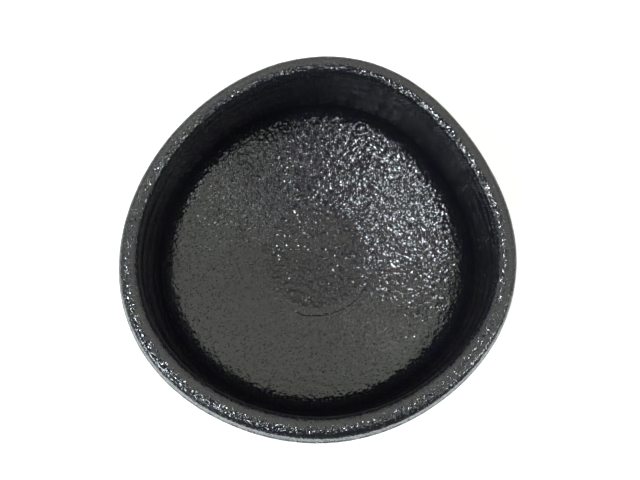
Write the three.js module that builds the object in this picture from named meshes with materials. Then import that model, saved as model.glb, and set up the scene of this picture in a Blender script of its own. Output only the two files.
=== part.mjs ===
// A hand-formed matcha tea bowl: a clay body on a foot ring that was made apart and luted on, black
// glaze inside and out, and a second coat of glaze drawn over the lip. The mouth is a rounded triangle.
// Millimetres, +Z up, the front of the bowl towards -Y, the origin on the table under the middle.
import * as THREE from "three";

// The clay body. Heights are from the table, radii from the axis.
const height = 77; // the crest of the clay lip
const mouthRadius = 57.2; // the middle of the lip
const lipThickness = 3.7;
const lipLeanOut = 15; // degrees that the outside of the lip leans in towards the mouth
const lipLeanIn = 13; // degrees that the inside of the lip hangs over the wall
const bellyRadius = 63.7; // the outside of the wall at its widest
const bellyHeight = 48;
const wallThickness = 5.1;
const hipRadius = 17; // the round turn from the wall to the underside
const hipInset = 0.5; // how much narrower the bowl is there than at the belly
const hipSlope = 35; // degrees that the underside climbs where that turn begins
const undersideSlope = 12; // degrees that it climbs beside the foot ring
const undersideTurn = 4.5; // the width over which it steepens
const floorThickness = 5.5; // at the edge of the well
const floorSlope = 13; // degrees that the floor climbs from the well outwards
const floorEdgeSlope = 37; // and where it meets the corner
const floorTurn = 6.8; // the width over which it steepens
const cornerRadius = 9; // the turn from the floor to the wall, inside
const wellRadius = 24; // the shallow pool in the floor where the last tea gathers
const wellDepth = 0.8;
const wellEdge = 6; // width of the slope down into the well

// The foot ring
const footHeight = 7;
const footRadius = 27.2; // the outside of the ring, where it joins the body
const footWall = 8;
const footTaper = 1.3; // how far each side of the ring draws in on its way down
const footBevel = 0.9; // the edge that is wiped off where the ring meets the table
const seatMargin = 1; // flat clay beyond the ring

// The glaze
const coat = 0.6; // on the wall and the floor, inside and out
const lipCoat = 0.4; // the second coat
const lipCoatInside = 8; // how far the second coat runs from the crest, along the inside
const lipCoatOutside = 10; // and along the outside
const coatEdge = 0.15; // thickness of a coat at its end
const coatRoll = 1.4; // the length in which it thins to that
const bareBand = 4.5; // bare clay beyond the ring's seat

// How the bowl was pressed out of round by hand: the number of bulges round the mouth, how far they
// stand out there, and the bearing of one of them in degrees from +X towards +Y.
const squeeze = [
  { bulges: 2, depth: 0.95, bearing: 15 },
  { bulges: 3, depth: 1.25, bearing: 89 },
  { bulges: 4, depth: 0.45, bearing: -3 },
  { bulges: 5, depth: 0.25, bearing: -7 },
];
const crestWave = [
  { bulges: 2, depth: 0.45, bearing: 40 },
  { bulges: 3, depth: 0.35, bearing: 70 },
];
const mouthOffset = 1.1; // the inside lies this far to the back, so the lip is thicker in front
const floorOffset = 2; // and this far at the height of the foot, so the wall is thicker there too
const bellySag = 1.6; // the belly hangs this far to the front

const turns = 40; // facets round the bowl

const degrees = THREE.MathUtils.degToRad;
const point = (radius, z) => new THREE.Vector2(radius, z);

// A point at some angle from the outward direction, on a circle in the section
function onCircle(centre, radius, angle) {
  return point(Math.cos(angle), Math.sin(angle)).multiplyScalar(radius).add(centre);
}

// A surface that climbs outwards from a point at one slope and steepens to another by its end
function climb(from, slope, turn, endSlope, endRadius) {
  const bend = point(endRadius - turn, from.y + (endRadius - turn - from.x) * Math.tan(degrees(slope)));
  return { bend, end: point(endRadius, bend.y + turn * Math.tan(degrees(endSlope))) };
}

// The clay's section, from the edge of the foot's seat up the outside, over the lip, down the inside
// and across the floor to the axis. Its curves run on smoothly, so a coat can be set off from it.
const floorHeight = footHeight + floorThickness;
const lipRadius = lipThickness / 2;
const lip = point(mouthRadius, height - lipRadius);
const lipStart = degrees(lipLeanOut);
const lipEnd = Math.PI + degrees(lipLeanIn);
const seatEdge = point(footRadius + seatMargin, footHeight);

const hipStart = degrees(hipSlope - 90);
const hipMiddle = bellyRadius - hipInset - hipRadius;
const hipFoot = hipMiddle + hipRadius * Math.cos(hipStart);
const { bend: undersideBend, end: hipBottom } = climb(
  seatEdge,
  undersideSlope,
  undersideTurn,
  hipSlope,
  hipFoot,
);
const underside = new THREE.QuadraticBezierCurve(seatEdge, undersideBend, hipBottom);
const hip = point(hipMiddle, hipBottom.y - hipRadius * Math.sin(hipStart));
const hipTurn = new THREE.EllipseCurve(hip.x, hip.y, hipRadius, hipRadius, hipStart, 0);

const belly = point(bellyRadius, bellyHeight);
const lowWall = new THREE.CubicBezierCurve(
  onCircle(hip, hipRadius, 0),
  point(hip.x + hipRadius, (2 * hip.y + bellyHeight) / 3),
  point(bellyRadius, (hip.y + 2 * bellyHeight) / 3),
  belly,
);
const wallPull = (lip.y - bellyHeight) / 3;
const outerLip = onCircle(lip, lipRadius, lipStart);
const highWall = new THREE.CubicBezierCurve(
  belly,
  point(bellyRadius, bellyHeight + wallPull),
  onCircle(outerLip, wallPull, lipStart - Math.PI / 2),
  outerLip,
);
const lipTurn = new THREE.EllipseCurve(lip.x, lip.y, lipRadius, lipRadius, lipStart, lipEnd);

const innerLip = onCircle(lip, lipRadius, lipEnd);
const innerBelly = point(bellyRadius - wallThickness, bellyHeight);
const highInside = new THREE.CubicBezierCurve(
  innerLip,
  onCircle(innerLip, wallPull, lipEnd + Math.PI / 2),
  point(innerBelly.x, bellyHeight + wallPull),
  innerBelly,
);
const wellRim = point(wellRadius + wellEdge / 2, floorHeight);
const wellFoot = point(wellRadius - wellEdge / 2, floorHeight - wellDepth);
const cornerEnd = degrees(floorEdgeSlope - 90);
const cornerMiddle = innerBelly.x - cornerRadius;
const cornerFoot = cornerMiddle + cornerRadius * Math.cos(cornerEnd);
const { bend: floorBend, end: floorEdge } = climb(wellRim, floorSlope, floorTurn, floorEdgeSlope, cornerFoot);
const corner = point(cornerMiddle, floorEdge.y - cornerRadius * Math.sin(cornerEnd));
const lowInside = new THREE.LineCurve(innerBelly, onCircle(corner, cornerRadius, 0));
const cornerTurn = new THREE.EllipseCurve(corner.x, corner.y, cornerRadius, cornerRadius, 0, cornerEnd, true);
const floor = new THREE.QuadraticBezierCurve(floorEdge, floorBend, wellRim);
const wellStep = new THREE.CubicBezierCurve(
  wellRim,
  point(wellRadius, wellRim.y - (wellEdge / 2) * Math.tan(degrees(floorSlope))),
  point(wellRadius, wellFoot.y),
  wellFoot,
);
const wellFloor = new THREE.LineCurve(wellFoot, point(0, wellFoot.y));

const section = new THREE.CurvePath();
section.curves = [
  underside,
  hipTurn,
  lowWall,
  highWall,
  lipTurn,
  highInside,
  lowInside,
  cornerTurn,
  floor,
  wellStep,
  wellFloor,
];
const [
  hipFrom,
  wallFrom,
  bellyAt,
  lipFrom,
  lipTo,
  innerBellyAt,
  cornerFrom,
  cornerTo,
  wellFrom,
  wellTo,
  sectionEnd,
] = section.getCurveLengths();
const crest = lipFrom + lipRadius * (Math.PI / 2 - lipStart);
const lipCoatFrom = crest - lipCoatOutside;
const lipCoatTo = crest + lipCoatInside;

// A point of the section, as far along it as asked, with its outward direction. `inside` is 0 on the
// outside of the bowl, 1 on the inside, and in between over the lip.
function sectionPoint(along) {
  const share = along / sectionEnd;
  const tangent = section.getTangent(share);
  return {
    at: section.getPoint(share),
    outward: point(tangent.y, -tangent.x),
    inside: THREE.MathUtils.clamp((along - lipFrom) / (lipTo - lipFrom), 0, 1),
  };
}

function stretch(from, to, steps) {
  return Array.from({ length: steps }, (_, step) => sectionPoint(from + ((to - from) * step) / steps));
}

// The section in stretches, each with its first point and without its last
const outsideStretch = [
  ...stretch(bareBand, bareBand + coatRoll, 1),
  ...stretch(bareBand + coatRoll, hipFrom, 4),
  ...stretch(hipFrom, wallFrom, 4),
  ...stretch(wallFrom, bellyAt, 2),
  ...stretch(bellyAt, lipCoatFrom, 3),
];
const lipStretch = [
  ...stretch(lipCoatFrom, lipCoatFrom + coatRoll, 1),
  ...stretch(lipCoatFrom + coatRoll, lipFrom, 1),
  ...stretch(lipFrom, crest, 3),
  ...stretch(crest, lipTo, 3),
  ...stretch(lipTo, lipCoatTo - coatRoll, 1),
  ...stretch(lipCoatTo - coatRoll, lipCoatTo, 1),
];
const insideStretch = [
  ...stretch(lipCoatTo, innerBellyAt, 3),
  ...stretch(innerBellyAt, cornerFrom, 2),
  ...stretch(cornerFrom, cornerTo, 3),
  ...stretch(cornerTo, wellFrom, 5),
  ...stretch(wellFrom, wellTo, 3),
  ...stretch(wellTo, sectionEnd, 2),
];
const crestIndex = lipStretch.length / 2;
const lipCoatEnd = sectionPoint(lipCoatTo);
const floorCentre = sectionPoint(sectionEnd);

// The same points set off outward. A coat that ends thins out over its last step.
function setOff(points, thickness, thinFirst = false, thinLast = false) {
  return points.map(({ at, outward, inside }, index) => {
    const thin = (thinFirst && index === 0) || (thinLast && index === points.length - 1);
    return { at: at.clone().addScaledVector(outward, thin ? coatEdge : thickness), outward, inside };
  });
}

function waves(list, bearing) {
  const out = ({ bulges, depth, bearing: peak }) => depth * Math.cos(bulges * (bearing - degrees(peak)));
  return list.reduce((sum, wave) => sum + out(wave), 0);
}

// Where a point of the section ends up on the hand-formed bowl, at a bearing in radians
function formed({ at, inside }, bearing) {
  const rise = THREE.MathUtils.clamp((at.y - footHeight) / (height - footHeight), 0, 1);
  const spread = at.x / mouthRadius;
  const radius = at.x + waves(squeeze, bearing) * spread * Math.sqrt(rise);
  const offset = THREE.MathUtils.lerp(floorOffset, mouthOffset, rise);
  const lean = offset * inside - bellySag * Math.sin(Math.PI * rise);
  return new THREE.Vector3(
    radius * Math.cos(bearing),
    radius * Math.sin(bearing) + lean,
    at.y + waves(crestWave, bearing) * spread * rise * rise,
  );
}

// A closed profile turned about the axis and formed by hand. Two bodies lie face to face only where
// their facets are split the same way, so a coat that lies on another surface has its profile follow
// that surface forwards, which turns it inside out, and its facets are then turned back.
function turned(profile, insideOut = false) {
  const outline = profile.map(({ at }) => at);
  const geometry = new THREE.LatheGeometry(outline, turns);
  const position = geometry.attributes.position;
  for (let vertex = 0; vertex < position.count; vertex++) {
    const column = Math.floor(vertex / profile.length) % turns;
    const place = formed(profile[vertex % profile.length], (column / turns) * 2 * Math.PI);
    position.setXYZ(vertex, place.x, place.y, place.z);
  }
  if (insideOut) {
    const index = geometry.index;
    for (let corner = 0; corner < index.count; corner += 3) {
      const second = index.getX(corner + 1);
      index.setX(corner + 1, index.getX(corner + 2));
      index.setX(corner + 2, second);
    }
  }
  geometry.computeVertexNormals();
  return geometry;
}

function closed(points) {
  return [...points, points[0]];
}

function clayBody() {
  const flat = (radius) => ({ at: point(radius, footHeight), inside: 0 });
  return turned([flat(0), flat(seatEdge.x), ...outsideStretch, ...lipStretch, ...insideStretch, floorCentre]);
}

function footRing() {
  const inner = footRadius - footWall;
  const outline = [
    point(inner + footTaper, footBevel),
    point(inner + footTaper + footBevel, 0),
    point(footRadius - footTaper - footBevel, 0),
    point(footRadius - footTaper, footBevel),
    point(footRadius, footHeight),
    point(inner, footHeight),
  ];
  return turned(closed(outline.map((at) => ({ at, inside: 0 }))));
}

function insideGlaze() {
  const clay = [...lipStretch.slice(crestIndex), ...insideStretch, floorCentre];
  return turned([...setOff(clay, coat).reverse(), ...clay], true);
}

function outsideGlaze() {
  const clay = [...outsideStretch, ...lipStretch.slice(0, crestIndex + 1)];
  return turned(closed([...clay, ...setOff(clay, coat, true).reverse()]), true);
}

function lipGlaze() {
  const under = setOff([...lipStretch, lipCoatEnd], coat);
  return turned(closed([...setOff(under, lipCoat, true, true), ...under.toReversed()]));
}

function named(name, geometry, color, roughness) {
  const mesh = new THREE.Mesh(geometry, new THREE.MeshStandardMaterial({ color, roughness, metalness: 0 }));
  mesh.name = name;
  return mesh;
}

const teaBowl = new THREE.Group();
teaBowl.add(
  named("clay_body", clayBody(), 0x8a7565, 0.9),
  named("foot_ring", footRing(), 0x8a7565, 0.9),
  named("inside_glaze", insideGlaze(), 0x0a090b, 0.12),
  named("outside_glaze", outsideGlaze(), 0x0a090b, 0.12),
  named("lip_glaze", lipGlaze(), 0x0c0b0d, 0.1),
);

// The bowl is out of round, so its box is centred over the origin at the end.
const centre = new THREE.Box3().setFromObject(teaBowl).getCenter(new THREE.Vector3());
teaBowl.position.set(-centre.x, -centre.y, 0);

export default teaBowl;
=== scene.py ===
# A black-glazed matcha tea bowl, pressed out of round by hand, seen from above on white paper.
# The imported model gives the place. Lengths are in millimetres and scaled at the end, and bearings are
# in degrees from the right of the picture, where nothing else is said.
from bisect import bisect_right
from math import atan2, cos, degrees, exp, hypot, pi, radians, sin, sqrt, tan

import bmesh
import bpy
from mathutils import Matrix, Vector, noise
from mathutils.geometry import interpolate_bezier


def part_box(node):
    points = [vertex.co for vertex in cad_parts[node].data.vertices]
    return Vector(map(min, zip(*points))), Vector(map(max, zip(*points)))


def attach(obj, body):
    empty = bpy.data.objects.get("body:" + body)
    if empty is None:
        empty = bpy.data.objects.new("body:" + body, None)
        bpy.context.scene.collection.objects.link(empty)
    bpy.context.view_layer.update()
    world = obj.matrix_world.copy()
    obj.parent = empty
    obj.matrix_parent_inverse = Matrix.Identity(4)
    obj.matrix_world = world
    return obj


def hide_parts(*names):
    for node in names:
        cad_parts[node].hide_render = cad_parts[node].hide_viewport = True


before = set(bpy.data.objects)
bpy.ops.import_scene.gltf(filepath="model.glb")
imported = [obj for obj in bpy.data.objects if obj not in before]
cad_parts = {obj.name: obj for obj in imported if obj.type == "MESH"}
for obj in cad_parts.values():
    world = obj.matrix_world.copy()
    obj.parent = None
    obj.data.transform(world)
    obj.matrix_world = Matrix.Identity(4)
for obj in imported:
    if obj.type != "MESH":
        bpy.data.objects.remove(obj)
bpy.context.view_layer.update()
print("frame loaded:", ", ".join(sorted(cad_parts)))

millimetre = 0.001
ringLow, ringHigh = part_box("foot_ring")
axis = (ringLow + ringHigh) / 2 / millimetre  # the middle of the foot ring, which is true round


def direction(bearing, zenith):
    turn, lean = radians(bearing), radians(zenith)
    return Vector((cos(turn) * sin(lean), sin(turn) * sin(lean), cos(lean)))


# The camera

camera = {
    "place": (-5.7, -19.15, 278.0),  # from the middle of the bowl's box in plan
    "target": (-0.1, 2.15, 78.0),
    "focalPixels": 655.9,  # from how fast the walls close in below the rim
    "imageWidth": 640,
    "sensor": 36.0,
    "clipStart": 0.01,  # metres
}


def makeCamera():
    place = Vector(camera["place"]) * millimetre
    sight = Vector(camera["target"]) * millimetre - place
    data = bpy.data.cameras.new("camera")
    data.sensor_width = camera["sensor"]
    data.lens = camera["focalPixels"] / camera["imageWidth"] * camera["sensor"]
    data.clip_start = camera["clipStart"]
    seen = bpy.data.objects.new("camera", data)
    ahead = sight.normalized()
    right = ahead.cross(Vector((0, 1, 0))).normalized()  # the back of the bowl is up in the picture
    seen.rotation_mode = "QUATERNION"
    seen.rotation_quaternion = Matrix((right, right.cross(ahead), -ahead)).transposed().to_quaternion()
    seen.location = place
    bpy.context.collection.objects.link(seen)
    bpy.context.scene.camera = seen
    print("camera placed")


# The bowl's section, as the potter's hand left it

clay = {
    "height": 77.0,
    "mouthRadius": 57.2,
    "lipThickness": 3.7,
    "lipLeanOut": 15.0,
    "lipLeanIn": 13.0,
    "bellyRadius": 63.7,
    "bellyHeight": 48.0,
    "wall": 5.1,
    "hipRadius": 17.0,
    "hipInset": 0.5,
    "hipSlope": 35.0,
    "undersideSlope": 12.0,
    "undersideTurn": 4.5,
    "footHeight": 7.0,
    "seatRadius": 28.2,
    "floorHeight": 11.9,
    "floorSlope": 13.0,
    "floorEdgeSlope": 37.0,
    "floorTurn": 6.8,
    "cornerRadius": 9.0,
    "wellRadius": 22.0,
    "wellDepth": 0.9,
    "wellEdge": 5.0,
}
# number of bulges round the bowl, how far they stand out at the mouth, bearing of one of them
squeeze = [(2, 0.95, 15.0), (3, 1.25, 89.0), (4, 0.45, -3.0), (5, 0.25, -7.0)]
crestWave = [(2, 0.45, 40.0), (3, 0.35, 70.0)]
mouthOffset = 1.1  # the inside lies further back, so the lip is thicker in front
floorOffset = 2.0  # and further still low down
bellySag = 1.6  # the belly hangs to the front

lipRadius = clay["lipThickness"] / 2
arcSteps = 60
bendSteps = 80
touching = 1e-6


def onCircle(centre, radius, angle):
    turn = radians(angle)
    return Vector((centre[0] + radius * cos(turn), centre[1] + radius * sin(turn)))


def arc(centre, radius, start, end):
    sweep = end - start
    return [onCircle(centre, radius, start + sweep * step / arcSteps) for step in range(arcSteps + 1)]


def bend(*handles):
    return interpolate_bezier(*[Vector(handle) for handle in handles], bendSteps)


def bendOnce(first, handle, last):
    first, handle, last = Vector(first), Vector(handle), Vector(last)
    return bend(first, first.lerp(handle, 2 / 3), last.lerp(handle, 2 / 3), last)


def climb(start, slope, turn, endSlope, endRadius):  # a surface that steepens towards its outer end
    bendAt = Vector((endRadius - turn, start.y + (endRadius - turn - start.x) * tan(radians(slope))))
    return bendAt, Vector((endRadius, bendAt.y + turn * tan(radians(endSlope))))


def claySection():
    c = clay
    lip = Vector((c["mouthRadius"], c["height"] - lipRadius))
    lipStart, lipEnd = c["lipLeanOut"], 180 + c["lipLeanIn"]
    seat = Vector((c["seatRadius"], c["footHeight"]))
    hipStart = c["hipSlope"] - 90
    hipMiddle = c["bellyRadius"] - c["hipInset"] - c["hipRadius"]
    hipFoot = hipMiddle + c["hipRadius"] * cos(radians(hipStart))
    undersideBend, hipBottom = climb(seat, c["undersideSlope"], c["undersideTurn"], c["hipSlope"], hipFoot)
    hip = Vector((hipMiddle, hipBottom.y - c["hipRadius"] * sin(radians(hipStart))))
    hipSide = onCircle(hip, c["hipRadius"], 0)
    belly = Vector((c["bellyRadius"], c["bellyHeight"]))
    pull = (lip.y - c["bellyHeight"]) / 3
    outerLip = onCircle(lip, lipRadius, lipStart)
    outerPull = onCircle(outerLip, pull, lipStart - 90)
    innerLip = onCircle(lip, lipRadius, lipEnd)
    innerPull = onCircle(innerLip, pull, lipEnd + 90)
    inner = Vector((c["bellyRadius"] - c["wall"], c["bellyHeight"]))
    floor = c["floorHeight"]
    wellRim = Vector((c["wellRadius"] + c["wellEdge"] / 2, floor))
    wellFoot = Vector((c["wellRadius"] - c["wellEdge"] / 2, floor - c["wellDepth"]))
    cornerEnd = c["floorEdgeSlope"] - 90
    cornerMiddle = inner.x - c["cornerRadius"]
    cornerFoot = cornerMiddle + c["cornerRadius"] * cos(radians(cornerEnd))
    floorBend, floorEdge = climb(wellRim, c["floorSlope"], c["floorTurn"], c["floorEdgeSlope"], cornerFoot)
    corner = Vector((cornerMiddle, floorEdge.y - c["cornerRadius"] * sin(radians(cornerEnd))))
    wellBend = (c["wellRadius"], floor - c["wellEdge"] / 2 * tan(radians(c["floorSlope"])))
    third = (c["bellyHeight"] - hip.y) / 3
    return {
        "underside": bendOnce(seat, undersideBend, hipBottom),
        "hip": arc(hip, c["hipRadius"], hipStart, 0),
        "lowWall": bend(hipSide, hipSide + Vector((0, third)), belly - Vector((0, third)), belly),
        "highWall": bend(belly, belly + Vector((0, pull)), outerPull, outerLip),
        "lip": arc(lip, lipRadius, lipStart, lipEnd),
        "highInside": bend(innerLip, innerPull, inner + Vector((0, pull)), inner),
        "lowInside": [inner, onCircle(corner, c["cornerRadius"], 0)],
        "corner": arc(corner, c["cornerRadius"], 0, cornerEnd),
        "floor": bendOnce(floorEdge, floorBend, wellRim),
        "wellStep": bend(wellRim, wellBend, (c["wellRadius"], wellFoot.y), wellFoot),
        "well": [wellFoot, Vector((0.0, wellFoot.y))],
    }


sectionPath = []
pathLengths = []
ends = {}  # how far along the section each of its curves ends
for curveName, curve in claySection().items():
    for spot in curve:
        if sectionPath:
            step = (spot - sectionPath[-1]).length
            if step < touching:
                continue
            pathLengths.append(pathLengths[-1] + step)
        else:
            pathLengths.append(0.0)
        sectionPath.append(spot)
    ends[curveName] = pathLengths[-1]

crest = ends["highWall"] + lipRadius * radians(90 - clay["lipLeanOut"])


def sectionAt(along):
    index = min(max(bisect_right(pathLengths, along) - 1, 0), len(sectionPath) - 2)
    share = (along - pathLengths[index]) / (pathLengths[index + 1] - pathLengths[index])
    return sectionPath[index].lerp(sectionPath[index + 1], share)


def station(along, thickness):  # a spot so far above the clay's section, and how far it is inside
    reach = 0.15  # either way, for the direction of the surface
    ahead = sectionAt(min(along + reach, ends["well"]))
    behind = sectionAt(max(along - reach, 0.0))
    run = (ahead - behind).normalized()
    inside = min(max((along - ends["highWall"]) / (ends["lip"] - ends["highWall"]), 0.0), 1.0)
    place = sectionAt(along) + Vector((run.y, -run.x)) * thickness
    if along > ends["well"] - touching:
        place.x = 0.0
    return {"at": place, "inside": inside, "along": along}


def spaced(start, end, spacing):
    count = max(1, round(abs(end - start) / spacing))
    return [start + (end - start) * step / count for step in range(count)]


def spacedParts(parts):  # start, end and spacing of each part
    return [along for start, end, spacing in parts for along in spaced(start, end, spacing)]


def smooth(value, low, high):
    share = min(max((value - low) / (high - low), 0.0), 1.0)
    return share * share * (3 - 2 * share)


def waves(listed, bearing):
    return sum(depth * cos(bulges * (bearing - radians(peak))) for bulges, depth, peak in listed)


def formed(radius, z, inside, bearing):  # where a spot of the true round bowl went when it was pressed
    rise = min(max((z - clay["footHeight"]) / (clay["height"] - clay["footHeight"]), 0.0), 1.0)
    spread = radius / clay["mouthRadius"]
    reach = radius + waves(squeeze, bearing) * spread * sqrt(rise)
    offset = floorOffset + (mouthOffset - floorOffset) * rise
    lean = offset * inside - bellySag * sin(pi * rise)
    lift = waves(crestWave, bearing) * spread * rise * rise
    return Vector((axis.x + reach * cos(bearing), axis.y + reach * sin(bearing) + lean, z + lift))


# where in the noise each pattern is read, so that no two are alike
seeds = {
    "peel": 3.0,
    "wave": 11.0,
    "swell": 17.0,
    "crackStray": 41.0,
    "crackEdge": 43.0,
    "clayWave": 21.0,
    "clayGrain": 5.0,
    "footRing": 31.0,
}
seedSteps = (1.0, 1.7, 0.3)


def noiseAt(place, size, pattern):
    return noise.noise(place / size + Vector([seeds[pattern] * step for step in seedSteps]))


def bearingOf(place):
    return atan2(place.y - axis.y, place.x - axis.x)


# Turning a profile on the wheel

wheel = {"merge": 0.0005, "glazeTurns": 512, "lipTurns": 768, "clayTurns": 256}


def turned(name, free, hidden, turns, relief):  # only the free part of the outline gets relief
    mesh = bmesh.new()
    insideLayer = mesh.verts.layers.float.new("inside")
    alongLayer = mesh.verts.layers.float.new("along")
    freeLayer = mesh.verts.layers.float.new("free")
    stops = [(spot, 1.0) for spot in free] + [(spot, 0.0) for spot in hidden]
    rim = []
    for spot, shows in stops:
        vert = mesh.verts.new((spot["at"].x, 0.0, spot["at"].y))
        vert[insideLayer] = spot["inside"]
        vert[alongLayer] = spot["along"]
        vert[freeLayer] = shows
        rim.append(vert)
    edges = [mesh.edges.new(pair) for pair in zip(rim, rim[1:])]
    if rim[0].co.x > wheel["merge"]:
        edges.append(mesh.edges.new((rim[-1], rim[0])))
    bmesh.ops.spin(
        mesh,
        geom=rim + edges,
        cent=(0, 0, 0),
        axis=(0, 0, 1),
        dvec=(0, 0, 0),
        angle=2 * pi,
        steps=turns,
        use_merge=True,
    )
    bmesh.ops.remove_doubles(mesh, verts=mesh.verts, dist=wheel["merge"])
    for vert in mesh.verts:
        x, y, z = vert.co
        vert.co = formed(hypot(x, y), z, vert[insideLayer], atan2(y, x))
    bmesh.ops.recalc_face_normals(mesh, faces=mesh.faces)
    mesh.normal_update()
    moves = []
    for vert in mesh.verts:
        if vert[freeLayer] > 0.5:
            moves.append((vert, relief(vert.co, vert[alongLayer], vert.normal)))
    for vert, move in moves:
        vert.co += move
    bmesh.ops.scale(mesh, vec=(millimetre,) * 3, verts=mesh.verts)
    for face in mesh.faces:
        face.smooth = True
    data = bpy.data.meshes.new(name)
    mesh.to_mesh(data)
    mesh.free()
    piece = bpy.data.objects.new(name, data)
    bpy.context.collection.objects.link(piece)
    return piece


def dress(piece, material, node):
    piece.data.materials.append(material)
    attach(piece, "root")
    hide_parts(node)
    print("made", piece.name, len(piece.data.polygons), "faces")


# The glaze, which crawled into a fine orange peel as it cooled

glaze = {
    "coat": 0.6,
    "peelSize": 2.2,
    "peelDepth": 0.045,
    "waveSize": 9.0,
    "waveDepth": 0.04,
    "lipCoatMargin": 1.5,  # how far under the second coat the rings of points stay fine
}


def peel(place):
    fine = glaze["peelDepth"] * noiseAt(place, glaze["peelSize"], "peel")
    return fine + glaze["waveDepth"] * noiseAt(place, glaze["waveSize"], "wave")


# the soft rings that the fingers left on the walls, which wander a little up and down
throwing = {"pitch": 8.5, "depth": 0.08, "wander": 3.52, "wanderLength": 30.0}


def throwingLines(place, along):
    bearing = bearingOf(place)
    spot = Vector((cos(bearing), sin(bearing), along / throwing["wanderLength"]))
    wander = throwing["wander"] * noise.noise(spot)
    return throwing["depth"] * sin(2 * pi * along / throwing["pitch"] + wander)


# The inside glaze, with a hairline along the front right of the well

insideGlaze = {
    "settleIn": 8.0,  # the length over which the throwing lines and the swelling begin
    "swellSize": 6.5,
    "swellDepth": 0.14,
    "rings": {
        "underLipCoat": 2.0,
        "wall": 1.0,
        "corner": 0.7,
        "floor": 0.65,
        "crack": 0.13,
        "wellStep": 0.4,
        "well": 0.75,
        "hidden": 7.0,
    },
}

crack = {
    "radius": 23.9,
    "halfWidth": 0.28,
    "depth": 0.26,
    "from": -125.0,
    "to": -4.0,
    "fade": 30.0,
    "stray": 0.5,
    "strayLength": 5.0,
    "ragged": 0.7,  # as a share of the stray
    "raggedLength": 1.4,
    "band": 0.9,  # to either side, where the rings of points are finest
}
crackAt = ends["wellStep"] - (crack["radius"] - clay["wellRadius"] + clay["wellEdge"] / 2)


def crackDepth(place, along):
    bearing = degrees(bearingOf(place))
    ragged = crack["ragged"] * noiseAt(place, crack["raggedLength"], "crackEdge")
    stray = crack["stray"] * (noiseAt(place, crack["strayLength"], "crackStray") + ragged)
    across = abs(along - crackAt - stray) / crack["halfWidth"]
    reach = smooth(bearing, crack["from"], crack["from"] + crack["fade"])
    reach *= 1 - smooth(bearing, crack["to"] - crack["fade"], crack["to"])
    return crack["depth"] * reach * max(0.0, 1 - across)


def insideRelief(place, along, normal):
    onWall = smooth(along, ends["lip"], ends["lip"] + insideGlaze["settleIn"])
    onWall *= 1 - smooth(along, ends["lowInside"], ends["corner"])
    onFloor = smooth(along, ends["corner"], ends["corner"] + insideGlaze["settleIn"])
    swell = insideGlaze["swellDepth"] * noiseAt(place, insideGlaze["swellSize"], "swell")
    raised = peel(place) + onWall * throwingLines(place, along) + onFloor * swell
    return normal * (raised - crackDepth(place, along))


def makeInsideGlaze():
    rings = insideGlaze["rings"]
    fineFrom = crest + lipGlaze["inside"] - glaze["lipCoatMargin"]
    alongs = spacedParts([
        (crest, fineFrom, rings["underLipCoat"]),
        (fineFrom, ends["lowInside"], rings["wall"]),
        (ends["lowInside"], ends["corner"], rings["corner"]),
        (ends["corner"], crackAt - crack["band"], rings["floor"]),
        (crackAt - crack["band"], crackAt + crack["band"], rings["crack"]),
        (crackAt + crack["band"], ends["wellStep"], rings["wellStep"]),
        (ends["wellStep"], ends["well"], rings["well"]),
    ])
    free = [station(along, glaze["coat"]) for along in alongs + [ends["well"]]]
    covering = spaced(crest, ends["well"], rings["hidden"]) + [ends["well"]]
    hidden = [station(along, 0.0) for along in covering]
    piece = turned("inside_black_glaze", free[::-1], hidden, wheel["glazeTurns"], insideRelief)
    dress(piece, insideFinish(), "inside_glaze")


# The outside glaze, which stops short of the foot

outsideGlaze = {
    "bareBand": 4.5,
    "edge": 1.2,  # the length in which the coat comes up to its thickness
    "edgeStart": 0.15,  # how far that has begun at the very edge, which is blunt
    "linesFade": (14.0, 6.0),  # below the crest, where the throwing lines fade out
    "rings": {"edge": 0.2, "underside": 1.2, "wall": 1.05, "underLipCoat": 2.0, "hidden": 7.0},
}


def outsideRelief(place, along, normal):
    fadeFrom, fadeTo = outsideGlaze["linesFade"]
    onWall = smooth(along, ends["underside"], ends["hip"])
    onWall *= 1 - smooth(along, crest - fadeFrom, crest - fadeTo)
    return normal * (peel(place) + onWall * throwingLines(place, along))


def makeOutsideGlaze():
    rings = outsideGlaze["rings"]
    start = outsideGlaze["bareBand"]
    full = start + outsideGlaze["edge"]
    fineTo = crest - lipGlaze["outside"] + glaze["lipCoatMargin"]
    alongs = spacedParts([
        (start, full, rings["edge"]),
        (full, ends["underside"], rings["underside"]),
        (ends["underside"], fineTo, rings["wall"]),
        (fineTo, crest, rings["underLipCoat"]),
    ])
    free = []
    for along in alongs + [crest]:
        share = smooth(along, start - outsideGlaze["edgeStart"], full)
        free.append(station(along, glaze["coat"] * sqrt(share)))
    covering = spaced(crest, start, rings["hidden"]) + [start]
    hidden = [station(along, 0.0) for along in covering]
    piece = turned("outside_black_glaze", free, hidden, wheel["glazeTurns"], outsideRelief)
    dress(piece, outsideFinish(), "outside_glaze")


# The second coat on the lip, which is broader and flatter at the back right

lipGlaze = {
    "coat": 0.4,
    "inside": 8.0,  # how far it runs from the crest, along the inside
    "outside": 10.0,
    "roll": 1.1,  # the length in which it thins to nothing
    "bead": 0.3,  # it is thickest close to its edge
    "beadFrom": 1.3,
    "beadWidth": 0.7,
    "bed": 0.12,  # how deep it sinks into the first coat
    "rings": {"free": 0.42, "hidden": 2.0},
}

shoulder = {"depth": 0.9, "bearing": 60.0, "fadeFrom": 3.2, "fadeTo": 7.0}


def lipRelief(place, along, normal):
    inward = along - crest
    side = (1 + cos(bearingOf(place) - radians(shoulder["bearing"]))) / 2
    turn = min(max(inward / lipRadius, 0.0), pi / 2)
    kept = 1 - smooth(inward, shoulder["fadeFrom"], shoulder["fadeTo"])
    return normal * (peel(place) + shoulder["depth"] * side * side * sin(turn) * kept)


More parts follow.
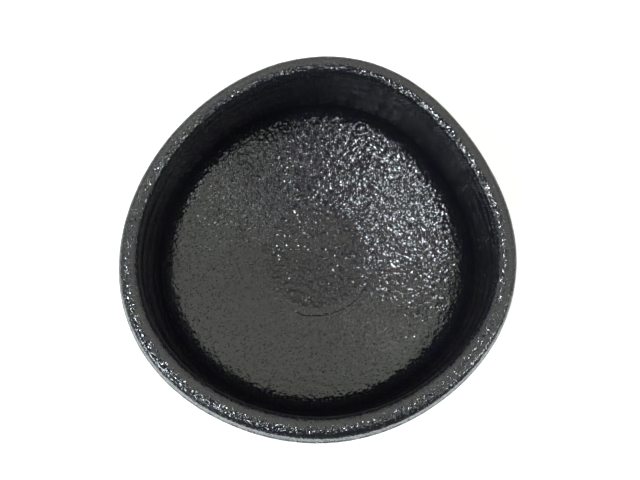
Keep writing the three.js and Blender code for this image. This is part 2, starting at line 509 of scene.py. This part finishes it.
def makeLipGlaze():
    rings = lipGlaze["rings"]
    start = crest - lipGlaze["outside"]
    end = crest + lipGlaze["inside"]
    free = []
    for along in spaced(start, end, rings["free"]) + [end]:
        nearest = min(along - start, end - along)
        rolled = sqrt(max(0.0, 1 - (1 - min(nearest / lipGlaze["roll"], 1.0)) ** 2))
        bead = lipGlaze["bead"] * exp(-((nearest - lipGlaze["beadFrom"]) / lipGlaze["beadWidth"]) ** 2)
        free.append(station(along, glaze["coat"] + (lipGlaze["coat"] + bead) * rolled))
    covering = spaced(end, start, rings["hidden"]) + [start]
    hidden = [station(along, glaze["coat"] - lipGlaze["bed"]) for along in covering]
    piece = turned("lip_black_glaze", free, hidden, wheel["lipTurns"], lipRelief)
    dress(piece, lipFinish(), "lip_glaze")


# The clay body, bare round the foot

bareBody = {
    "pastBand": 3.0,  # how far under the outside glaze the rings of points stay fine
    "waveSize": 5.0,
    "waveDepth": 0.12,
    "grainSize": 1.6,
    "grainDepth": 0.05,
    "rings": {"recess": 0.8, "free": 0.6, "hidden": 4.0},
}


def clayRelief(place, along, normal):
    wave = bareBody["waveDepth"] * noiseAt(place, bareBody["waveSize"], "clayWave")
    return normal * (wave + bareBody["grainDepth"] * noiseAt(place, bareBody["grainSize"], "clayGrain"))


def makeClayBody():
    rings = bareBody["rings"]
    freeEnd = outsideGlaze["bareBand"] + bareBody["pastBand"]
    free = []
    for radius in spaced(0.0, clay["seatRadius"], rings["recess"]):
        place = Vector((radius, clay["footHeight"]))
        free.append({"at": place, "inside": 0.0, "along": -clay["seatRadius"] + radius})
    free += [station(along, 0.0) for along in spaced(0.0, freeEnd, rings["free"])]
    covered = spaced(freeEnd, ends["well"], rings["hidden"]) + [ends["well"]]
    hidden = [station(along, 0.0) for along in covered]
    piece = turned("bare_clay_body", free, hidden, wheel["clayTurns"], clayRelief)
    dress(piece, clayFinish(), "clay_body")


# The foot ring

foot = {
    "outer": 27.2,
    "wall": 8.0,
    "taper": 1.3,
    "bevel": 0.9,
    "spacing": 0.6,
    "unevenSize": 4.0,
    "unevenDepth": 0.1,
    "flatTo": (0.05, 1.5),  # above the table: the standing face stays flat
}


def footRelief(place, along, normal):
    fade = smooth(place.z, *foot["flatTo"])
    return normal * fade * foot["unevenDepth"] * noiseAt(place, foot["unevenSize"], "footRing")


def makeFootRing():
    inner = foot["outer"] - foot["wall"]
    outline = [
        (inner, clay["footHeight"]),
        (inner + foot["taper"], foot["bevel"]),
        (inner + foot["taper"] + foot["bevel"], 0.0),
        (foot["outer"] - foot["taper"] - foot["bevel"], 0.0),
        (foot["outer"] - foot["taper"], foot["bevel"]),
        (foot["outer"], clay["footHeight"]),
    ]
    corners = [Vector(spot) for spot in outline]
    places = []
    for first, last in zip(corners, corners[1:]):
        length = (last - first).length
        places += [first.lerp(last, along / length) for along in spaced(0.0, length, foot["spacing"])]
    places.append(corners[-1])
    free = [{"at": place, "inside": 0.0, "along": 0.0} for place in places]
    piece = turned("foot_ring_clay", free, [], wheel["clayTurns"], footRelief)
    dress(piece, clayFinish(), "foot_ring")


# Materials


def srgb(code):  # the linear colour of a code
    parts = [int(code[start:start + 2], 16) / 255 for start in (1, 3, 5)]
    linear = [part / 12.92 if part <= 0.04045 else ((part + 0.055) / 1.055) ** 2.4 for part in parts]
    return (*linear, 1.0)


def addNode(tree, kind, settings=None, links=None):
    node = tree.nodes.new(kind)
    for key, value in (settings or {}).items():
        if isinstance(key, int) or key in node.inputs:
            node.inputs[key].default_value = value
        else:
            setattr(node, key, value)
    for key, source in (links or {}).items():
        tree.links.new(source, node.inputs[key])
    return node


def newMaterial(name):
    material = bpy.data.materials.new(name)
    material.use_nodes = True
    material.node_tree.nodes.clear()
    return material, material.node_tree


def finishMaterial(tree, surface):
    addNode(tree, "ShaderNodeOutputMaterial", {}, {"Surface": surface})


def patternScale(size):
    return 1 / (size * millimetre)


# Iron-saturated black glaze, brushed on thick and drawn hot: a glassy black skin with an orange peel
blackGlazeLook = {
    "colours": ("#1b1c1e", "#191722"),  # a cool black, with faintly violet clouds
    "cloudSize": 6.0,
    "cloudDetail": 2.0,
    "cloudEdge": (0.4, 0.6),
    "roughness": 0.04,
    "ior": 1.74,
    "grainTurn": (0.6, 0.5, 0.4),  # so that the patterns don't line up with the axes
    "peelSize": 1.7,
    "peelDetail": 1.0,
    "peelFineness": 0.5,
    "thickBearing": 55.0,  # the side where the glaze pooled thicker, with a deeper peel
    "thickFrom": (-17.0, 20.0),
    "thinDepth": 0.26,
    "thickDepth": 0.68,
    "facetSize": 0.55,  # small flat faces, which sparkle one by one
    "facetTilt": 0.2,
    "pitSpacing": 0.95,
    "pitRadius": 0.34,
    "pitDepth": 0.12,
}

# the inner wall cooled duller than the floor, where the glaze ran together
insideLook = {"wallFrom": (23.0, 33.0), "wallRoughness": 0.12, "wallDepth": 0.12}

# the outside was brushed on evenly, so its peel is much alike all round
outsideLook = {"thinDepth": 0.5, "thickDepth": 0.6}

# The ridge of the lip, where the glaze drew thin and dried rough: a thin line of sparkle all round
lipLook = {
    "peelSize": 1.2,
    "peelDetail": 0.5,
    "facetSize": 0.42,
    "facetTilt": 1.8,
    "sideDepth": 0.13,
    "ridgeDepth": 0.4,
    "ridgeRoughness": 0.09,
    "ridgeLean": -0.28,  # how far the ridge leans inwards, as the sine of its slope
    "ridgeSwing": 0.36,  # and how much more on the side of its bearing
    "ridgeBearing": 70.0,
    "ridgeReach": (0.1, 0.36),
    "smoothBearing": 25.0,  # the side where the ridge dried smoothest, in a finer line
    "smoothFrom": (0.3, 0.85),
    "smoothRidgeDepth": 0.2,
}


def towards(tree, way, bearing, length=1.0):
    return addNode(tree, "ShaderNodeVectorMath", {
        "operation": "DOT_PRODUCT",
        1: direction(bearing, 90) * length,
    }, {0: way}).outputs["Value"]


def lipRidge(tree, place, look):  # how near the ridge a spot is, and how deep the peel is there
    flat = addNode(tree, "ShaderNodeVectorMath", {"operation": "MULTIPLY", 1: (1.0, 1.0, 0.0)}, {0: place})
    away = addNode(tree, "ShaderNodeVectorMath", {"operation": "NORMALIZE"}, {0: flat.outputs["Vector"]})
    away = away.outputs["Vector"]
    outward = addNode(tree, "ShaderNodeVectorMath", {"operation": "DOT_PRODUCT"}, {
        0: away,
        1: addNode(tree, "ShaderNodeNewGeometry").outputs["Normal"],
    }).outputs["Value"]
    aside = towards(tree, away, look["ridgeBearing"], look["ridgeSwing"])
    level = addNode(tree, "ShaderNodeMath", {"operation": "ADD", 1: -look["ridgeLean"]}, {0: outward})
    fromRidge = addNode(tree, "ShaderNodeMath", {"operation": "ADD"}, {0: level.outputs[0], 1: aside})
    distance = addNode(tree, "ShaderNodeMath", {"operation": "ABSOLUTE"}, {0: fromRidge.outputs[0]})
    ridge = addNode(tree, "ShaderNodeMapRange", {
        "interpolation_type": "SMOOTHSTEP",
        "From Min": look["ridgeReach"][0],
        "From Max": look["ridgeReach"][1],
        "To Min": 1.0,
        "To Max": 0.0,
    }, {"Value": distance.outputs[0]})
    depth = addNode(tree, "ShaderNodeMapRange", {
        "interpolation_type": "SMOOTHSTEP",
        "From Min": look["smoothFrom"][0],
        "From Max": look["smoothFrom"][1],
        "To Min": look["ridgeDepth"],
        "To Max": look["smoothRidgeDepth"],
    }, {"Value": towards(tree, away, look["smoothBearing"])})
    return ridge.outputs["Result"], depth.outputs["Result"]


def cloudColour(tree, place, look):
    clouds = addNode(tree, "ShaderNodeTexNoise", {
        "Scale": patternScale(look["cloudSize"]),
        "Detail": look["cloudDetail"],
    }, {"Vector": place})
    colour = addNode(tree, "ShaderNodeValToRGB", {}, {"Fac": clouds.outputs["Fac"]})
    for element, position, code in zip(colour.color_ramp.elements, look["cloudEdge"], look["colours"]):
        element.position = position
        element.color = srgb(code)
    return colour.outputs["Color"]


def pooledDepth(tree, place, look):  # how deep the peel is, from the thin side of the glaze to the thick
    thinEnd, thickEnd = (end * millimetre for end in look["thickFrom"])
    return addNode(tree, "ShaderNodeMapRange", {
        "interpolation_type": "SMOOTHSTEP",
        "From Min": thinEnd,
        "From Max": thickEnd,
        "To Min": look["thinDepth"],
        "To Max": look["thickDepth"],
    }, {"Value": towards(tree, place, look["thickBearing"])}).outputs["Result"]


def highOnWall(tree, place, look):
    height = addNode(tree, "ShaderNodeSeparateXYZ", {}, {"Vector": place}).outputs["Z"]
    low, high = (level * millimetre for level in look["wallFrom"])
    return addNode(tree, "ShaderNodeMapRange", {
        "interpolation_type": "SMOOTHSTEP",
        "From Min": low,
        "From Max": high,
    }, {"Value": height}).outputs["Result"]


def peeledNormal(tree, place, depth, look):  # the peel and its pits, and the facets that sparkle
    askew = addNode(tree, "ShaderNodeMapping", {"Rotation": look["grainTurn"]}, {
        "Vector": place,
    }).outputs["Vector"]
    grain = addNode(tree, "ShaderNodeTexNoise", {
        "Scale": patternScale(look["peelSize"]),
        "Detail": look["peelDetail"],
        "Roughness": look["peelFineness"],
    }, {"Vector": askew}).outputs["Fac"]
    pits = addNode(tree, "ShaderNodeTexVoronoi", {
        "Scale": patternScale(look["pitSpacing"]),
        "Randomness": 1.0,
    }, {"Vector": askew}).outputs["Distance"]
    hollow = addNode(tree, "ShaderNodeMapRange", {
        "interpolation_type": "SMOOTHSTEP",
        "From Max": look["pitRadius"] / look["pitSpacing"],
        "To Min": -look["pitDepth"],
        "To Max": 0.0,
    }, {"Value": pits}).outputs["Result"]
    relief = addNode(tree, "ShaderNodeMath", {"operation": "MULTIPLY_ADD"}, {0: grain, 1: depth, 2: hollow})
    bump = addNode(tree, "ShaderNodeBump", {"Strength": 1.0, "Distance": millimetre}, {
        "Height": relief.outputs[0],
    })
    facets = addNode(tree, "ShaderNodeTexVoronoi", {"Scale": patternScale(look["facetSize"])}, {
        "Vector": askew,
    })
    # the random colour of each facet is read as the way that it leans
    lean = addNode(tree, "ShaderNodeVectorMath", {"operation": "SUBTRACT", 1: (0.5, 0.5, 0.5)}, {
        0: facets.outputs["Color"],
    })
    amount = addNode(tree, "ShaderNodeMath", {"operation": "MULTIPLY", 1: look["facetTilt"]}, {0: depth})
    tilt = addNode(tree, "ShaderNodeVectorMath", {"operation": "SCALE"}, {
        0: lean.outputs["Vector"],
        "Scale": amount.outputs[0],
    })
    tilted = addNode(tree, "ShaderNodeVectorMath", {"operation": "ADD"}, {
        0: bump.outputs["Normal"],
        1: tilt.outputs["Vector"],
    })
    return addNode(tree, "ShaderNodeVectorMath", {"operation": "NORMALIZE"}, {
        0: tilted.outputs["Vector"],
    }).outputs["Vector"]


def ridgedDepth(tree, place, glass, look):  # for the lip, smooth on its sides and rough on its ridge
    ridge, ridgeDepth = lipRidge(tree, place, look)
    rough = addNode(tree, "ShaderNodeMix", {"A": look["roughness"], "B": look["ridgeRoughness"]}, {
        "Factor": ridge,
    })
    tree.links.new(rough.outputs["Result"], glass.inputs["Roughness"])
    return addNode(tree, "ShaderNodeMix", {"A": look["sideDepth"]}, {
        "Factor": ridge,
        "B": ridgeDepth,
    }).outputs["Result"]


def wallDepth(tree, place, glass, look):  # for the inside, where the wall is duller than the floor
    wall = highOnWall(tree, place, look)
    rough = addNode(tree, "ShaderNodeMix", {"A": look["roughness"], "B": look["wallRoughness"]}, {
        "Factor": wall,
    })
    tree.links.new(rough.outputs["Result"], glass.inputs["Roughness"])
    return addNode(tree, "ShaderNodeMix", {"B": look["wallDepth"]}, {
        "Factor": wall,
        "A": pooledDepth(tree, place, look),
    }).outputs["Result"]


def glazeMaterial(name, look):
    material, tree = newMaterial(name)
    place = addNode(tree, "ShaderNodeTexCoord").outputs["Object"]
    glass = addNode(tree, "ShaderNodeBsdfPrincipled", {
        "Roughness": look["roughness"],
        "IOR": look["ior"],
    }, {"Base Color": cloudColour(tree, place, look)})
    if "ridgeDepth" in look:
        depth = ridgedDepth(tree, place, glass, look)
    elif "wallDepth" in look:
        depth = wallDepth(tree, place, glass, look)
    else:
        depth = pooledDepth(tree, place, look)
    tree.links.new(peeledNormal(tree, place, depth, look), glass.inputs["Normal"])
    finishMaterial(tree, glass.outputs["BSDF"])
    return material


def insideFinish():
    return glazeMaterial("black_iron_glaze", dict(blackGlazeLook, **insideLook))


def outsideFinish():
    return glazeMaterial("black_iron_glaze_outside", dict(blackGlazeLook, **outsideLook))


def lipFinish():
    return glazeMaterial("black_iron_glaze_second_coat", dict(blackGlazeLook, **lipLook))


# Bare buff clay, matt, warm and a little gritty below the black
buffClayLook = {
    "colours": ("#6e5644", "#97795f"),
    "cloudSize": 9.0,
    "cloudDetail": 4.0,
    "cloudEdge": (0.3, 0.7),
    "gritSize": 0.6,
    "gritDetail": 2.0,
    "gritHeight": 0.1,
    "roughness": 0.85,
}


def clayFinish():
    name = "fired_buff_clay"
    if name in bpy.data.materials:
        return bpy.data.materials[name]
    look = buffClayLook
    material, tree = newMaterial(name)
    place = addNode(tree, "ShaderNodeTexCoord").outputs["Object"]
    grit = addNode(tree, "ShaderNodeTexNoise", {
        "Scale": patternScale(look["gritSize"]),
        "Detail": look["gritDetail"],
    }, {"Vector": place})
    bump = addNode(tree, "ShaderNodeBump", {"Strength": 1.0, "Distance": look["gritHeight"] * millimetre}, {
        "Height": grit.outputs["Fac"],
    })
    body = addNode(tree, "ShaderNodeBsdfPrincipled", {"Roughness": look["roughness"]}, {
        "Base Color": cloudColour(tree, place, look),
        "Normal": bump.outputs["Normal"],
    })
    finishMaterial(tree, body.outputs["BSDF"])
    return material


# The paper and the light

studio = {
    "paperHalf": 3.0,  # metres
    "paper": 0.86,
    "lift": 0.42,  # what the paper gains for the camera alone, so that it comes out white
    "table": 0.12,
    "tableEdge": (-115.0, -150.0),  # in front, beyond which the paper turns darker for reflected and bounced light only, while the camera still sees it white
    "lampDistance": 0.7,  # metres
    "lampsAround": (0.0, 0.0, 0.05),  # metres
    "lampColour": (0.84, 0.94, 1.0),
    "roomColour": (1.02, 1.03, 0.93, 1.0),
    "zenithLevel": 0.97,
    "zenithReach": 35.0,  # degrees, within which the ceiling has that level
    "horizonLevel": 0.5,
    "clutterScale": 8.0,
    "clutterDetail": 3.0,
    "clutterEdge": (0.3, 0.7),
    "clutter": (0.4, 1.6),
}

# bearing, angle from the zenith, watts, width and height in metres
lamps = {
    "left window pane": (199.0, 26.0, 1.4, 0.055, 0.085),
    "right window pane": (210.0, 35.0, 1.4, 0.055, 0.085),
    "side window": (246.0, 57.0, 0.75, 0.11, 0.13),
    "low window": (214.0, 73.0, 1.2, 0.2, 0.16),
    "glass door": (300.0, 40.0, 0.08, 0.03, 0.05),
    "hall window": (329.0, 66.0, 0.8, 0.18, 0.12),
    "tube lamp": (310.0, 26.0, 0.25, 0.25, 0.015),
}

# Darker and brighter parts of the room, which the glaze reflects: bearing, angle from the zenith,
# radius in degrees of the full part and of the faded part, level
patches = {
    "ceiling beam": (257.0, 27.0, 10.0, 20.0, 0.2),
    "front wall": (275.0, 76.0, 26.0, 40.0, 0.08),
    "window wall": (213.0, 38.0, 21.0, 33.0, 0.1),
    "shelf": (303.0, 20.0, 5.0, 13.0, 0.25),
    "door": (290.0, 42.0, 6.0, 12.0, 0.3),
    "camera": (265.0, 5.0, 3.0, 11.0, 0.4),
    "curtain": (142.0, 27.0, 4.0, 13.0, 1.6),
    "ceiling panel": (78.0, 10.0, 1.2, 3.2, 2.2),
    "left panel": (160.0, 12.0, 1.0, 3.2, 2.2),
    "right panel": (5.0, 13.0, 1.0, 3.2, 1.8),
    "left joist": (120.0, 12.0, 2.0, 5.0, 0.35),
    "right joist": (38.0, 11.0, 2.0, 5.0, 0.35),
    "back wall": (90.0, 48.0, 5.0, 20.0, 0.85),
}


def makePaper():  # matt white paper, which keeps the bowl's shadow
    mesh = bmesh.new()
    bmesh.ops.create_grid(mesh, x_segments=1, y_segments=1, size=studio["paperHalf"])
    data = bpy.data.meshes.new("paper")
    mesh.to_mesh(data)
    mesh.free()
    paper = bpy.data.objects.new("paper", data)
    bpy.context.collection.objects.link(paper)
    material, tree = newMaterial("matt_white_paper")
    place = addNode(tree, "ShaderNodeTexCoord").outputs["Object"]
    forward = addNode(tree, "ShaderNodeSeparateXYZ", {}, {"Vector": place}).outputs["Y"]
    near, far = studio["tableEdge"]
    # the paper fades to a darker level towards the front for reflected and bounced light only, which
    # darkens what the glaze reflects from the front
    frontLevel = addNode(tree, "ShaderNodeMapRange", {
        "From Min": far * millimetre,
        "From Max": near * millimetre,
        "To Min": studio["table"],
    }, {"Value": forward}).outputs["Result"]
    ray = addNode(tree, "ShaderNodeLightPath")
    seen = addNode(tree, "ShaderNodeMath", {"operation": "MAXIMUM"}, {
        0: ray.outputs["Is Camera Ray"],
        1: frontLevel,
    }).outputs[0]
    lift = addNode(tree, "ShaderNodeMath", {"operation": "MULTIPLY", 1: studio["lift"]}, {
        0: ray.outputs["Is Camera Ray"],
    }).outputs[0]
    lit = addNode(tree, "ShaderNodeMath", {"operation": "MULTIPLY"}, {0: lift, 1: seen}).outputs[0]
    glow = addNode(tree, "ShaderNodeEmission", {}, {"Strength": lit})
    white = addNode(tree, "ShaderNodeMath", {"operation": "MULTIPLY", 1: studio["paper"]}, {0: seen})
    matt = addNode(tree, "ShaderNodeBsdfDiffuse", {}, {"Color": white.outputs[0]})
    both = addNode(tree, "ShaderNodeAddShader", {}, {0: matt.outputs[0], 1: glow.outputs[0]})
    finishMaterial(tree, both.outputs[0])
    data.materials.append(material)


def makeLamps():
    for name, (bearing, zenith, power, width, height) in lamps.items():
        toLamp = direction(bearing, zenith)
        across = Vector((0, 0, 1)).cross(toLamp).normalized()
        data = bpy.data.lights.new(name, "AREA")
        data.shape = "RECTANGLE"
        data.size = width
        data.size_y = height
        data.energy = power
        data.color = studio["lampColour"]
        lamp = bpy.data.objects.new(name, data)
        lamp.rotation_mode = "QUATERNION"
        facing = Matrix((across, toLamp.cross(across), toLamp)).transposed()
        lamp.rotation_quaternion = facing.to_quaternion()
        lamp.location = toLamp * studio["lampDistance"] + Vector(studio["lampsAround"])
        lamp.visible_camera = False
        bpy.context.collection.objects.link(lamp)


def makeRoom():
    world = bpy.data.worlds.new("room")
    bpy.context.scene.world = world
    world.use_nodes = True
    tree = world.node_tree
    tree.nodes.clear()
    way = addNode(tree, "ShaderNodeTexCoord").outputs["Generated"]
    height = addNode(tree, "ShaderNodeSeparateXYZ", {}, {"Vector": way}).outputs["Z"]
    level = addNode(tree, "ShaderNodeMapRange", {
        "interpolation_type": "SMOOTHSTEP",
        "From Max": cos(radians(studio["zenithReach"])),
        "To Min": studio["horizonLevel"],
        "To Max": studio["zenithLevel"],
    }, {"Value": height}).outputs["Result"]
    clutter = addNode(tree, "ShaderNodeTexNoise", {
        "Scale": studio["clutterScale"],
        "Detail": studio["clutterDetail"],
    }, {"Vector": way}).outputs["Fac"]
    uneven = addNode(tree, "ShaderNodeMapRange", {
        "From Min": studio["clutterEdge"][0],
        "From Max": studio["clutterEdge"][1],
        "To Min": studio["clutter"][0],
        "To Max": studio["clutter"][1],
    }, {"Value": clutter}).outputs["Result"]
    level = addNode(tree, "ShaderNodeMath", {"operation": "MULTIPLY"}, {0: level, 1: uneven}).outputs[0]
    for bearing, zenith, full, faded, shade in patches.values():
        facing = addNode(tree, "ShaderNodeVectorMath", {
            "operation": "DOT_PRODUCT",
            1: direction(bearing, zenith),
        }, {0: way}).outputs["Value"]
        kept = addNode(tree, "ShaderNodeMapRange", {
            "interpolation_type": "SMOOTHSTEP",
            "From Min": cos(radians(faded)),
            "From Max": cos(radians(full)),
            "To Min": 1.0,
            "To Max": shade,
        }, {"Value": facing}).outputs["Result"]
        level = addNode(tree, "ShaderNodeMath", {"operation": "MULTIPLY"}, {0: level, 1: kept}).outputs[0]
    room = addNode(tree, "ShaderNodeBackground", {"Color": studio["roomColour"]}, {"Strength": level})
    white = addNode(tree, "ShaderNodeBackground", {"Color": (1.0, 1.0, 1.0, 1.0), "Strength": 1.0})
    ray = addNode(tree, "ShaderNodeLightPath")
    mix = addNode(tree, "ShaderNodeMixShader", {}, {
        0: ray.outputs["Is Camera Ray"],
        1: room.outputs[0],
        2: white.outputs[0],
    })
    addNode(tree, "ShaderNodeOutputWorld", {}, {"Surface": mix.outputs[0]})
    print("paper and light set")


makeCamera()
makeInsideGlaze()
makeOutsideGlaze()
makeLipGlaze()
makeClayBody()
makeFootRing()
makePaper()
makeLamps()
makeRoom()

bpy.context.scene.view_settings.view_transform = "Standard"
